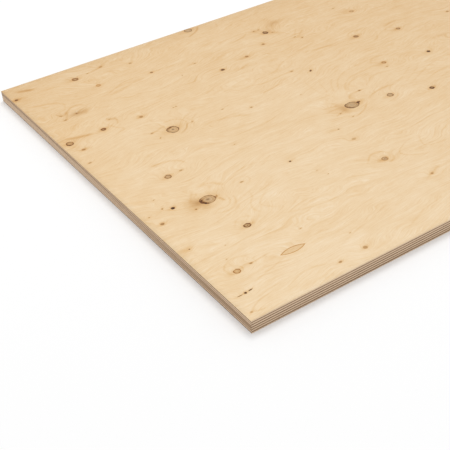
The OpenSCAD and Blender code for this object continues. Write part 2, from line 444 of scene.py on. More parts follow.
def inlay_distance(along, across):
    """Distance outwards from the outline of the patch."""
    upper = np.hypot(along - patch_along, across - patch_across - patch_offset)
    lower = np.hypot(along - patch_along, across - patch_across + patch_offset)
    return np.maximum(upper, lower) - patch_radius


# Depth in millimetres of the pits and grooves in a knot, for each unit of its tone, and the most of it all
RIM_GROOVE = 0.07
BARK_GROOVE = 0.14
CORE_HOLLOW = 0.05
PITH_PIT = 0.12
SPOT_BOWL = 0.12
DEEPEST = 0.7


def relief_field(marks, along, across):
    """Depth of the pits and grooves that sanding leaves in knots."""
    depth = np.zeros_like(along)
    for knot in marks.knots:
        lengthwise, crosswise = mark_place(knot, along, across)
        distance = np.hypot(lengthwise, crosswise)
        side = np.arctan2(crosswise, lengthwise) - math.radians(knot.bark_side)
        crescent = np.clip(np.cos(side), 0, 1) ** 2 * bell(distance, 0.85, 0.16)
        groove = bell(distance, 0.95, 0.14)
        hollow = np.clip(1 - distance, 0, 1)
        pit = bell(distance, 0, 0.2)
        depth += RIM_GROOVE * knot.rim * groove + BARK_GROOVE * knot.bark * crescent
        depth += CORE_HOLLOW * knot.core * hollow + PITH_PIT * knot.pith * pit
    for spot in marks.spots:
        depth += SPOT_BOWL * spot.tone * np.clip(1.1 - np.hypot(*mark_place(spot, along, across)), 0, 1)
    return np.minimum(depth, DEEPEST)


# Meshes

# Distance between points over the faces and round the rim, and the corner broken off along the rim
FACE_STEP = 6.0
EDGE_STEP = 4.0
ARRIS = 0.12


def boat_outline(clearance, steps=26):
    """Points round the boat-shaped outline, counter-clockwise, made larger all round by the clearance."""
    radius = patch_radius + clearance
    half_angle = math.acos(patch_offset / radius)
    angles = np.linspace(-half_angle, half_angle, steps, endpoint=False)
    upper = np.stack([-np.sin(angles) * radius, np.cos(angles) * radius - patch_offset], 1)
    return np.vstack([upper, -upper]) + (patch_along, patch_across)


def sheet_rim():
    """Points round the sheet, counter-clockwise from the near corner, and the way out at each."""
    along = np.linspace(0, sheet_length, round(sheet_length / EDGE_STEP), endpoint=False)
    across = np.linspace(0, sheet_width, round(sheet_width / EDGE_STEP), endpoint=False)
    points = np.vstack([
        np.stack([along, np.zeros_like(along)], 1),
        np.stack([np.full_like(across, sheet_length), across], 1),
        np.stack([sheet_length - along, np.full_like(along, sheet_width)], 1),
        np.stack([np.zeros_like(across), sheet_width - across], 1),
    ])
    outward = (points == (sheet_length, sheet_width)).astype(float) - (points == 0)
    return points, outward


def loop_edges(first, count):
    return [(first + number, first + (number + 1) % count) for number in range(count)]


def triangulate(points, edges):
    """Triangles between the points, with the given edges kept, as triples of point numbers."""
    result = delaunay_2d_cdt([Vector(point) for point in points], edges, [], 0, 1e-6, True)
    triangles = np.array(result[2])
    sources = np.array([source[0] for source in result[3]])
    return sources[triangles]


# Rings of points round a mark in its radii, rows along a streak in its half widths, and points in a ring
RING_RADII = (0.0, 0.3, 0.55, 0.75, 0.88, 1.0, 1.14, 1.4, 1.8, 2.4)
STREAK_ROWS = (-2.6, -1.6, -0.8, 0.0, 0.8, 1.6, 2.6)
KNOT_SEGMENTS = 28
SPOT_SEGMENTS = 12


def ring_points(mark, segments):
    """Points in rings round a mark, so that its edge is well drawn."""
    turn = math.radians(mark.turn)
    rings = []
    for number, radius in enumerate(RING_RADII):
        count = segments if radius else 1
        angles = (np.arange(count) + 0.5 * (number % 2)) * 2 * math.pi / count
        lengthwise = np.cos(angles) * radius * mark.radius * mark.stretch
        crosswise = np.sin(angles) * radius * mark.radius
        along = mark.along + lengthwise * math.cos(turn) - crosswise * math.sin(turn)
        across = mark.across + lengthwise * math.sin(turn) + crosswise * math.cos(turn)
        rings.append(np.stack([along, across], 1))
    return np.vstack(rings)


def streak_rows(streak):
    """Points in rows along a streak, so that its edges are well drawn."""
    path = streak_points(streak)
    way = np.gradient(path, axis=0)
    sideways = np.stack([-way[:, 1], way[:, 0]], 1) / np.linalg.norm(way, axis=1)[:, None]
    return np.vstack([path + sideways * streak.half_width * row for row in STREAK_ROWS])


# How far the grid stays off the marks, in their half widths, and how far all points stay off rim and pocket
GRID_CLEARANCE = 2.7
RIM_CLEARANCE = 1.2
POCKET_CLEARANCE = 3.0

# Rings of points round the pocket, and the side of a square in which only one point is kept
POCKET_RINGS = (0.3, 0.7, 1.3, 2.2)
LEAST_SPACING = 0.45


def thinned(points):
    """The points without those that share a small square with an earlier one."""
    _, first = np.unique(np.floor(points / LEAST_SPACING), axis=0, return_index=True)
    return points[np.sort(first)]


def surface_points(marks, pocket):
    """Points inside the rim: an even grid, with rings at knots and at the pocket, and rows at streaks."""
    row_step = FACE_STEP * math.sqrt(3) / 2
    rows = int(sheet_width / row_step)
    columns = int(sheet_length / FACE_STEP)
    row, column = np.meshgrid(np.arange(1, rows), np.arange(1, columns), indexing="ij")
    along = (column + 0.5 * (row % 2)) * sheet_length / (columns + 0.5)
    grid = np.stack([along.ravel(), (row * sheet_width / rows).ravel()], 1)
    keep = np.ones(len(grid), bool)
    for mark in [*marks.knots, *marks.spots]:
        keep &= np.hypot(*mark_place(mark, *grid.T)) > GRID_CLEARANCE
    for streak in marks.streaks:
        keep &= streak_distance(streak, *grid.T)[0] > GRID_CLEARANCE
    groups = [ring_points(knot, KNOT_SEGMENTS) for knot in marks.knots]
    groups += [ring_points(spot, SPOT_SEGMENTS) for spot in marks.spots]
    groups += [streak_rows(streak) for streak in marks.streaks]
    points = thinned(np.vstack([*groups, grid[keep]]))
    if pocket:
        points = points[inlay_distance(*points.T) > POCKET_CLEARANCE]
        points = np.vstack([points, *[boat_outline(PATCH_GLUE_GAP + step) for step in POCKET_RINGS]])
    far_limit = (sheet_length - RIM_CLEARANCE, sheet_width - RIM_CLEARANCE)
    return points[((points > RIM_CLEARANCE) & (points < far_limit)).all(1)]


# Levels of the points on a sawn wall, from the outer side to the glued side, and depths of saw and glue line
WALL_ROWS = (1.0, 0.88, 0.62, 0.36, 0.1, 0.0)
SAW_DEPTH = 0.05
PLY_GROOVE = 0.06

# Lengths of the short and the long waves that the saw leaves along an edge
SAW_CHATTER = 9
SAW_DRIFT = 60


def wall_inset(level, along, across, seed):
    """How far the sawn edge lies inside the true edge, at one level of the wall."""
    chatter = smooth_field(seed, SAW_CHATTER, SAW_CHATTER)(along, across)
    drift = smooth_field(seed + 1, SAW_DRIFT, SAW_DRIFT)(along, across)
    inset = SAW_DEPTH * (0.5 + 0.22 * chatter + 0.2 * drift).clip(0, 1)
    return inset + PLY_GROOVE if level == 0 else inset


def band_faces(first_row, second_row, count):
    """Quads between two rows of points that run round a closed loop."""
    number = np.arange(count)
    after = (number + 1) % count
    return np.stack([second_row + number, second_row + after, first_row + after, first_row + number], 1)


def levelled(places, height):
    """Points over places on the sheet, at one height or at a height for each."""
    return np.column_stack([places, np.broadcast_to(height, len(places))])


def middle_distance(points, triangles):
    """How far the middle of each triangle lies outside the outline of the patch."""
    return inlay_distance(*points[triangles].mean(1).T)


def face_outwards(mesh):
    """Turns every face of a closed mesh outwards."""
    work = bmesh.new()
    work.from_mesh(mesh)
    bmesh.ops.recalc_face_normals(work, faces=work.faces)
    work.to_mesh(mesh)
    work.free()


def closed_mesh(name, points, faces):
    """A mesh in the frame, from points with their places in millimetres and their heights in metres."""
    placed = points * (MM, MM, 1) + (cad_low.x, cad_low.y, 0)
    mesh = bpy.data.meshes.new(name)
    mesh.from_pydata(placed.tolist(), [], [list(map(int, face)) for face in faces])
    face_outwards(mesh)
    return mesh


def read_mesh(items, key, width=1, kind=float):
    """One property of all the points, corners or faces of a mesh."""
    values = np.empty(len(items) * width, kind)
    items.foreach_get(key, values)
    return values


def sheet_place(items, key):
    """Place along and across the sheet of the points or faces of a mesh."""
    places = read_mesh(items, key, 3).reshape(-1, 3)
    return (places[:, 0] - cad_low.x) / MM, (places[:, 1] - cad_low.y) / MM


# Kind and key of stored values, by how many numbers each has
STORED_KINDS = {1: ("FLOAT", "value"), 3: ("FLOAT_VECTOR", "vector"), 4: ("FLOAT_COLOR", "color")}


def store(mesh, name, values, domain="POINT"):
    """Keeps values on the mesh for its material to read: single numbers, vectors, or colours with alpha."""
    values = np.ascontiguousarray(values, np.float32)
    kind, key = STORED_KINDS[values[0].size]
    mesh.attributes.new(name, kind, domain).data.foreach_set(key, values.ravel())


# A knot is drawn up to so many radii off, and places further off than that are given as this
KNOT_DRAWN_TO = 2.0
FAR_FROM_KNOTS = 9.0


def store_knots(mesh, knots):
    """Writes, on each face near a knot, where it lies in the knot and what the knot looks like."""
    centre = sheet_place(mesh.polygons, "center")
    nearest = np.full(len(mesh.polygons), KNOT_DRAWN_TO)
    owner = np.full(len(mesh.polygons), -1)
    for number, knot in enumerate(knots):
        distance = np.hypot(*mark_place(knot, *centre))
        closer = distance < nearest
        nearest[closer] = distance[closer]
        owner[closer] = number
    corner_owner = np.repeat(owner, read_mesh(mesh.polygons, "loop_total", kind=np.int32))
    corner_points = read_mesh(mesh.loops, "vertex_index", kind=np.int32)
    along, across = [places[corner_points] for places in sheet_place(mesh.vertices, "co")]
    place = np.full((len(along), 3), FAR_FROM_KNOTS)
    tone = np.zeros((len(along), 4))
    bark = np.zeros((len(along), 3))
    for number, knot in enumerate(knots):
        mine = corner_owner == number
        lengthwise, crosswise = mark_place(knot, along[mine], across[mine])
        place[mine] = np.stack([lengthwise, crosswise, np.full(len(lengthwise), knot.radius)], 1)
        tone[mine] = (knot.core, knot.rim, knot.warm, knot.pith)
        side = math.radians(knot.bark_side)
        bark[mine] = (math.cos(side), math.sin(side), knot.bark)
    store(mesh, "knot_place", place, "CORNER")
    store(mesh, "knot_tone", tone, "CORNER")
    store(mesh, "knot_bark", bark, "CORNER")


# The distance from the patch outline is kept only this far off
INLAY_REACH = 9


def store_figure(mesh, marks, seed, through, brown_base, tan_base):
    """Writes the growth lines, stains with the base tone and any painted shade, spots and patch outline on
    the points of a veneer.
    """
    along, across = sheet_place(mesh.vertices, "co")
    growth = growth_field(marks, seed)(along, across)
    brown, warm = stain_field(marks, along, across)
    # The base tone of the face includes painted shade, darker away from the near corner
    brown = brown + brown_base(along, across)
    warm = warm + tan_base(along, across)
    inlay = np.clip(inlay_distance(along, across), -INLAY_REACH, INLAY_REACH)
    cone, tone = spot_field(marks.spots, along, across)
    store(mesh, "grain_place", np.stack([along, growth, across], 1))
    store(mesh, "stains", np.stack([brown, warm, inlay], 1))
    store(mesh, "spots", np.stack([cone, tone, np.zeros_like(tone)], 1))
    store(mesh, "through", through)


def outer_veneer(name, inner_height, outer_height, marks, pocket, seed, ply_tones, brown_base, tan_base):
    """Face or back veneer: a surface with its knots, sawn walls, a plain glued side and any patch pocket."""
    rise = outer_height - inner_height
    outer_side = math.copysign(MM, rise)
    rim, outward = sheet_rim()
    pocket_rim = boat_outline(PATCH_GLUE_GAP) if pocket else np.zeros((0, 2))
    surface = np.vstack([rim - outward * ARRIS, pocket_rim, surface_points(marks, pocket)])
    edges = loop_edges(0, len(rim)) + loop_edges(len(rim), len(pocket_rim))

    def sheet_triangles(places):
        triangles = triangulate(places, edges)
        if pocket:
            triangles = triangles[middle_distance(places, triangles) > PATCH_GLUE_GAP]
        return triangles

    triangles = sheet_triangles(surface)
    depth = relief_field(marks, *surface.T)
    depth[:len(rim)] = 0
    points = [levelled(surface, outer_height - outer_side * depth)]
    through = [np.ones(len(surface))]
    faces = list(triangles)

    # Sawn walls, from just under the surface to the glued side
    above = 0
    first = len(surface)
    for level in WALL_ROWS:
        inset = wall_inset(level, *rim.T, seed)
        height = inner_height + rise * level
        if level == 1:
            height -= outer_side * ARRIS
            inset = inset * 0.5
        points.append(levelled(rim - outward * inset[:, None], height))
        through.append(np.full(len(rim), level))
        faces += list(band_faces(above, first, len(rim)))
        above = first
        first += len(rim)

    # Glued side, and the walls of the pocket
    glued = np.vstack([points[-1][:, :2], pocket_rim])
    points.append(levelled(pocket_rim, inner_height))
    through.append(np.zeros(len(pocket_rim)))
    faces += list(band_faces(len(rim), first, len(pocket_rim)))
    faces += list(sheet_triangles(glued) + above)

    mesh = closed_mesh(name, np.vstack(points), faces)
    store_figure(mesh, marks, seed, np.concatenate(through), brown_base, tan_base)
    store(mesh, "ply_tones", np.tile(ply_tones, (len(mesh.vertices), 1)))
    store_knots(mesh, marks.knots)
    on_surface = np.arange(len(mesh.polygons)) < len(triangles)
    mesh.polygons.foreach_set("material_index", (~on_surface).astype(np.int32))
    mesh.polygons.foreach_set("use_smooth", on_surface)
    return mesh


# How much the rim of the patch is eased, and how far inside its outline its rings of points lie
PATCH_EASE = 0.08
PATCH_RINGS = (0.3, 0.7, 1.3, 2.0, 2.8)


def patch_mesh(name, seed, brown_base, tan_base):
    """Boat-shaped insert with a slightly eased rim."""
    rim = boat_outline(0)
    edges = loop_edges(0, len(rim))
    surface = np.vstack([boat_outline(-step) for step in (PATCH_EASE, *PATCH_RINGS)])
    triangles = triangulate(surface, edges)
    low = patch_low.z
    high = patch_high.z
    levels = ((surface, high), (rim, high - PATCH_EASE * MM), (rim, low))
    points = np.vstack([levelled(places, height) for places, height in levels])
    second = len(surface)
    third = second + len(rim)
    faces = [
        *triangles[middle_distance(surface, triangles) < -PATCH_EASE],
        *band_faces(0, second, len(rim)),
        *band_faces(second, third, len(rim)),
        *(triangulate(rim, edges) + third),
    ]
    mesh = closed_mesh(name, points, faces)
    through = (points[:, 2] - low) / (high - low)
    store_figure(mesh, Marks([], [], [], []), seed, through, brown_base, tan_base)
    return mesh


# Node helpers

class NodeValue:
    """What one output of a node gives. Arithmetic on it adds the nodes that do the sum."""

    def __init__(self, socket):
        self.socket = socket
        self.tree = socket.id_data

    def __add__(self, other):
        return calculate("ADD", self, other)

    def __radd__(self, other):
        return calculate("ADD", other, self)

    def __sub__(self, other):
        return calculate("SUBTRACT", self, other)

    def __rsub__(self, other):
        return calculate("SUBTRACT", other, self)

    def __mul__(self, other):
        return calculate("MULTIPLY", self, other)

    def __truediv__(self, other):
        return calculate("DIVIDE", self, other)

    def __abs__(self):
        return calculate("ABSOLUTE", self)


def add_node(tree, kind, inputs=None, **settings):
    """A node with its settings made and its inputs set or linked."""
    made = tree.nodes.new(kind)
    for key, value in settings.items():
        setattr(made, key, value)
    for key, value in (inputs or {}).items():
        if isinstance(value, NodeValue):
            tree.links.new(value.socket, made.inputs[key])
        else:
            made.inputs[key].default_value = value
    return made


def node_value(tree, kind, inputs=None, output=0, **settings):
    return NodeValue(add_node(tree, kind, inputs, **settings).outputs[output])


def link_values(end, values):
    """Links values to the named inputs of a node."""
    for label, value in values.items():
        value.tree.links.new(value.socket, end.inputs[label])


def calculate(operation, *values, clamp=False):
    """A sum on numbers and values, at least one of them a value."""
    tree = next(value.tree for value in values if isinstance(value, NodeValue))
    return node_value(tree, "ShaderNodeMath", dict(enumerate(values)), operation=operation, use_clamp=clamp)


def vector_math(tree, operation, inputs, output=0):
    return node_value(tree, "ShaderNodeVectorMath", inputs, output, operation=operation)


def swing(value, amount):
    """A noise as a tone that swings to both sides of nought."""
    return (value - 0.5) * amount


def smooth_step(value, start, end):
    """Nought up to start, one from end on, smooth between; end may be the lower one."""
    limits = {"Value": value, "From Min": start, "From Max": end}
    return node_value(value.tree, "ShaderNodeMapRange", limits, interpolation_type="SMOOTHSTEP")


def join(tree, x=0.0, y=0.0, z=0.0):
    return node_value(tree, "ShaderNodeCombineXYZ", {0: x, 1: y, 2: z})


def split(vector):
    parts = add_node(vector.tree, "ShaderNodeSeparateXYZ", {0: vector})
    return [NodeValue(socket) for socket in parts.outputs]


def stretched_noise(first, second, first_size, second_size, detail, seed):
    """Noise whose grains are so long and so wide, in the units of the two places given."""
    place = join(first.tree, first / first_size, second / second_size, seed)
    inputs = {"Vector": place, "Scale": 1.0, "Detail": detail}
    return node_value(first.tree, "ShaderNodeTexNoise", inputs, "Fac")


def read_attribute(tree, name, output="Vector"):
    return node_value(tree, "ShaderNodeAttribute", None, output, attribute_name=name)


def new_group(name, kind, inputs, outputs):
    """An empty node group with named inputs and outputs, the values it is given, and its end."""
    tree = bpy.data.node_groups.new(name, kind)
    for side, sockets in (("INPUT", inputs), ("OUTPUT", outputs)):
        for label, socket_type in sockets.items():
            tree.interface.new_socket(label, in_out=side, socket_type=socket_type)
    start = tree.nodes.new("NodeGroupInput")
    given = {label: NodeValue(start.outputs[label]) for label in inputs}
    return tree, given, tree.nodes.new("NodeGroupOutput")


def place_group(tree, group, inputs):
    outputs = add_node(tree, "ShaderNodeGroup", inputs, node_tree=group).outputs
    return {socket.name: NodeValue(socket) for socket in outputs}


FLOAT = "NodeSocketFloat"
VECTOR = "NodeSocketVector"
COLOUR = "NodeSocketColor"
GEOMETRY = "NodeSocketGeometry"
SHADER_TREE = "ShaderNodeTree"

# What a group of marks gives: two amounts of colour and the height of the fine grain
MARK_OUTPUTS = {"Brown": FLOAT, "Tan": FLOAT, "Height": FLOAT}

# What one unit of brown or of tan takes out of red, green and blue light
BROWN_TAKES = (0.50, 0.60, 0.70)
TAN_TAKES = (0.15, 0.35, 0.70)
CLEAR_BIRCH = (0.890, 0.711, 0.489, 1.0)
CLEAR_EDGE = (0.905, 0.690, 0.490, 1.0)


def wood_colour_group():
    """Colour of birch that has taken up so much brown and tan."""
    inputs = {"Clear Wood": COLOUR, "Brown": FLOAT, "Tan": FLOAT}
    tree, given, end = new_group("wood_colour", SHADER_TREE, inputs, {"Color": COLOUR})
    brown = vector_math(tree, "SCALE", {0: BROWN_TAKES, "Scale": given["Brown"]})
    tan = vector_math(tree, "SCALE", {0: TAN_TAKES, "Scale": given["Tan"]})
    taken = vector_math(tree, "ADD", {0: brown, 1: tan})
    less = vector_math(tree, "SCALE", {0: taken, "Scale": -1.0})
    left = vector_math(tree, "POWER", {0: (math.e, math.e, math.e), 1: less})
    link_values(end, {"Color": vector_math(tree, "MULTIPLY", {0: given["Clear Wood"], 1: left})})
    return tree


# Distance between growth rings
GROWTH_RING = 5.5


def birch_figure_group():
    """Growth lines, clouds, fibres and pores of rotary-cut birch."""
    inputs = {"Grain Place": VECTOR, "Seed": FLOAT}
    tree, given, end = new_group("birch_figure", SHADER_TREE, inputs, MARK_OUTPUTS)
    along, growth, across = split(given["Grain Place"])
    seed = given["Seed"]

    def noise(length, width, detail, step):
        return stretched_noise(along, growth, length, width, detail, seed + step)

    def cloud(length, width, step):
        return stretched_noise(along, across, length, width, 3.0, seed + step)

    # A growth ring darkens slowly towards its late wood and ends sharply, and some rings show more
    ring_place = growth / GROWTH_RING + swing(noise(300, 45, 1.0, 0.0), 2.4)
    ring_number = {"W": calculate("FLOOR", ring_place) + seed}
    ring_tone = node_value(tree, "ShaderNodeTexWhiteNoise", ring_number, "Value", noise_dimensions="1D")
    ring_part = calculate("FRACT", ring_place)
    late_wood = smooth_step(ring_part, 0.50, 0.94) * smooth_step(ring_part, 1.0, 0.95)
    fade = smooth_step(noise(60, 16, 2.0, 19.0), 0.36, 0.66)
    line = late_wood * fade * (0.15 + ring_tone * ring_tone * 0.85)

    streaks = noise(90, 3.2, 3.0, 7.0)
    fibres = noise(22, 1.0, 3.0, 23.0)
    pores = smooth_step(noise(5, 0.25, 0.0, 29.0), 0.62, 0.74)
    small_cloud = cloud(26, 15, 37.0)
    tan = line * 0.36 + swing(cloud(120, 60, 31.0), 0.40) + swing(small_cloud, 0.46)
    link_values(end, {
        "Brown": line * 0.02 + swing(small_cloud, 0.03) + pores * 0.06,
        "Tan": tan + swing(streaks, 0.68) + swing(fibres, 0.90) + pores * 0.15,
        "Height": fibres * 0.6 + streaks * 0.4 + pores * -0.7,
    })
    return tree


# Distance between the rings in a knot, and half the width of its dark rim
KNOT_RING = 3.0
KNOT_RIM = 0.9


def knot_marks_group():
    """Rings, rim, bark and pith of the knots, and the pin knots."""
    inputs = {
        "Place": VECTOR, "Tone": COLOUR, "Pith": FLOAT, "Bark": VECTOR, "Spots": VECTOR,
        "Grain Place": VECTOR,
    }
    tree, given, end = new_group("knot_marks", SHADER_TREE, inputs, MARK_OUTPUTS)
    core, rim, warm = split(given["Tone"])
    bark_cos, bark_sin, bark = split(given["Bark"])
    lengthwise, crosswise, radius = split(given["Place"])

    def noise(size, detail, step):
        return stretched_noise(lengthwise, crosswise, size, size, detail, radius + step)

    plain = vector_math(tree, "LENGTH", {0: join(tree, lengthwise, crosswise)}, "Value")
    distance = plain + swing(noise(0.9, 2.0, 0.0), 0.45) + swing(noise(0.2, 2.0, 3.0), 0.12)
    in_core = smooth_step(distance, 1.06, 0.86)
    ring_turns = distance * radius * (2 * math.pi / KNOT_RING)
    rings = calculate("SINE", ring_turns + noise(0.5, 2.0, 5.0) * 7.0)
    rim_shows = 0.45 + smooth_step(noise(0.8, 2.0, 11.0), 0.35, 0.60) * 0.55
    at_rim = smooth_step(abs(distance - 0.93) * radius, KNOT_RIM, 0.1) * rim_shows
    at_pith = smooth_step(distance, 0.26, 0.10)
    toward = lengthwise * bark_cos + crosswise * bark_sin
    facing = smooth_step(toward / calculate("MAXIMUM", plain, 0.01), 0.25, 0.85)
    ragged = smooth_step(noise(0.4, 3.0, 17.0), 0.40, 0.60)
    at_bark = smooth_step(abs(distance - 0.80), 0.26, 0.08) * facing * ragged
    core_brown = in_core * core * (0.92 + rings * 0.30 + swing(noise(0.16, 3.0, 9.0), 0.7))
    knot_brown = core_brown + at_rim * rim + at_pith * given["Pith"] + at_bark * bark
    knot_tan = warm * (in_core + at_rim * 2.4)

    # Light pin knots are mostly tan, and only dark ones are all brown
    cone, tone, _ = split(given["Spots"])
    along, _, across = split(given["Grain Place"])
    rough = swing(stretched_noise(along, across, 1.1, 1.1, 3.0, 2.0), 0.8)
    spot = smooth_step(cone + rough, -0.05, 0.42) * tone
    spot_brown = spot * (0.5 + smooth_step(tone, 1.2, 2.8) * 0.5)
    spot_tan = calculate("MINIMUM", spot, 1.2) * 0.9
    link_values(end, {
        "Brown": knot_brown + spot_brown,
        "Tan": knot_tan + knot_brown * 0.12 + spot_tan,
        "Height": rings * in_core * 0.3 + at_bark * -1.0 + spot * -0.4,
    })
    return tree


# The near tones of the ends give way to the far ones between these distances from the near side
END_TONE_SHIFT = (70, 390)


def sawn_edge_group():
    """Sawn edge of one veneer: pale where the grain runs along the edge, dark where it is cut across."""
    inputs = {"Across": FLOAT, "Through": FLOAT, "Ply Tones": VECTOR, "Seed": FLOAT}
    tree, given, end = new_group("sawn_edge", SHADER_TREE, inputs, MARK_OUTPUTS)
    normal = split(node_value(tree, "ShaderNodeNewGeometry", output="True Normal"))
    at_end = calculate("GREATER_THAN", abs(normal[0]), 0.7)
    at_side = 1.0 - at_end
    place = split(node_value(tree, "ShaderNodeTexCoord", output="Object"))
    x_mm, y_mm, z_mm = [part / MM for part in place]
    run = x_mm * at_side + y_mm * at_end
    end_grain = abs(at_end - given["Across"])
    long_grain = 1.0 - end_grain

    def noise(length, height, step):
        return stretched_noise(run, z_mm, length, height, 2.0, given["Seed"] + step)

    # The tone of a veneer on the sides, and at the ends from the near side to the far side; on the face
    # veneer it is partly a painted highlight along the top arris
    side_tone, near_tone, far_tone = split(given["Ply Tones"])
    shift_start, shift_end = END_TONE_SHIFT
    past_start = y_mm + (sheet_width / 2 - shift_start)
    far_part = calculate("DIVIDE", past_start, shift_end - shift_start, clamp=True)
    end_tone = near_tone + far_part * (far_tone - near_tone)
    ply_tone = at_side * side_tone + at_end * end_tone

    drift = noise(170, 2.2, 0.0)
    patches = noise(22, 1.4, 5.0)
    streaks = noise(26, 0.22, 9.0)
    speckle = noise(0.35, 0.35, 13.0)
    saw_marks = noise(0.7, 14.0, 17.0)
    glue = smooth_step(abs(given["Through"] - 0.5), 0.43, 0.50)
    end_brown = end_grain * (1.75 + swing(drift, 1.2) + swing(patches, 0.6) + swing(speckle, 0.4))
    long_brown = long_grain * (0.06 + swing(drift, 0.7) + swing(patches, 0.3) + swing(streaks, 0.35))
    brown = end_brown + long_brown + swing(saw_marks, 0.12) + glue * 0.35 + ply_tone
    link_values(end, {
        "Brown": calculate("MAXIMUM", brown, 0.0),
        "Tan": swing(streaks, 0.25),
        "Height": speckle + saw_marks * 0.6 + streaks * long_grain,
    })
    return tree


wood_colour = wood_colour_group()
birch_figure = birch_figure_group()
knot_marks = knot_marks_group()
sawn_edge = sawn_edge_group()


def wood_material(name, roughness, gloss):
    """A material with a bare wood surface, and the tree to finish it in."""
    material = bpy.data.materials.new(name)
    material.use_nodes = True
    tree = material.node_tree
    surface = tree.nodes["Principled BSDF"]
    surface.inputs["Roughness"].default_value = roughness
    surface.inputs["Specular IOR Level"].default_value = gloss
    return material, tree, surface


def dress_wood(tree, surface, clear_wood, marks, strength, depth):
    """Gives a wood surface the colour and the fine grain of its marks, so many millimetres deep."""
    inputs = {"Clear Wood": clear_wood, "Brown": marks["Brown"], "Tan": marks["Tan"]}
    colour = place_group(tree, wood_colour, inputs)["Color"]
    grain = {"Strength": strength, "Distance": depth * MM, "Height": marks["Height"]}
    link_values(surface, {"Base Color": colour, "Normal": node_value(tree, "ShaderNodeBump", grain)})


def sanded_birch(name, seed, with_knots, more_tan):
    """Sanded face of a veneer with its figure, stains, base tone with any painted shade, and patch outline,
    and its knots where it has any.
    """
    material, tree, surface = wood_material(name, roughness=0.62, gloss=0.25)
    grain = read_attribute(tree, "grain_place")
    # The stains attribute also holds the base tone, and on the face the painted shade that darkens it away
    # from the near corner
    stain_and_shade_brown, stain_and_shade_tan, inlay = split(read_attribute(tree, "stains"))
    along, growth, _ = split(grain)
    broken = stretched_noise(along, growth, 7.0, 1.6, 2.0, seed)
    outline = smooth_step(abs(inlay - 0.05), 0.85, 0.1)
    marks = place_group(tree, birch_figure, {"Grain Place": grain, "Seed": seed})
    marks["Brown"] += stain_and_shade_brown
    marks["Tan"] += stain_and_shade_tan * (0.4 + broken * 1.2)
    marks["Tan"] += outline * 1.6
    marks["Tan"] += more_tan
    marks["Height"] += outline * -0.5
    if with_knots:
        knots = place_group(tree, knot_marks, {
            "Place": read_attribute(tree, "knot_place"),
            "Tone": read_attribute(tree, "knot_tone", "Color"),
            "Pith": read_attribute(tree, "knot_tone", "Alpha"),
            "Bark": read_attribute(tree, "knot_bark"),
            "Spots": read_attribute(tree, "spots"),
            "Grain Place": grain,
        })
        for label in MARK_OUTPUTS:
            marks[label] += knots[label]
    dress_wood(tree, surface, CLEAR_BIRCH, marks, strength=0.28, depth=0.12)
    return material


def sawn_birch(name, across, seed):
    """Sawn edge of a veneer whose grain runs along the sheet, or across it where across is one."""
    material, tree, surface = wood_material(name, roughness=0.78, gloss=0.2)
    marks = place_group(tree, sawn_edge, {
        "Across": across,
        "Through": read_attribute(tree, "through", "Fac"),
        "Ply Tones": read_attribute(tree, "ply_tones"),
        "Seed": seed,
    })
    dress_wood(tree, surface, CLEAR_EDGE, marks, strength=0.5, depth=0.1)
    return material


face_birch = sanded_birch("face_birch", seed=1.0, with_knots=True, more_tan=0.0)
back_birch = sanded_birch("back_birch", seed=41.0, with_knots=True, more_tan=0.05)
patch_birch = sanded_birch("patch_birch", seed=83.0, with_knots=False, more_tan=0.0)
long_grain_edge = sawn_birch("long_grain_edge", across=0.0, seed=5.0)
cross_grain_edge = sawn_birch("cross_grain_edge", across=1.0, seed=9.0)


# Inner veneers by Geometry Nodes

# Cuts in each side of a veneer, depth and fineness of its saw marks, and the limits for merging and for edges
EDGE_CUTS = 240
INNER_SAW_DEPTH = 0.12
SAW_MARK_SCALE = 110.0
MERGE_DISTANCE = 0.01
EDGE_MARGIN = 0.1


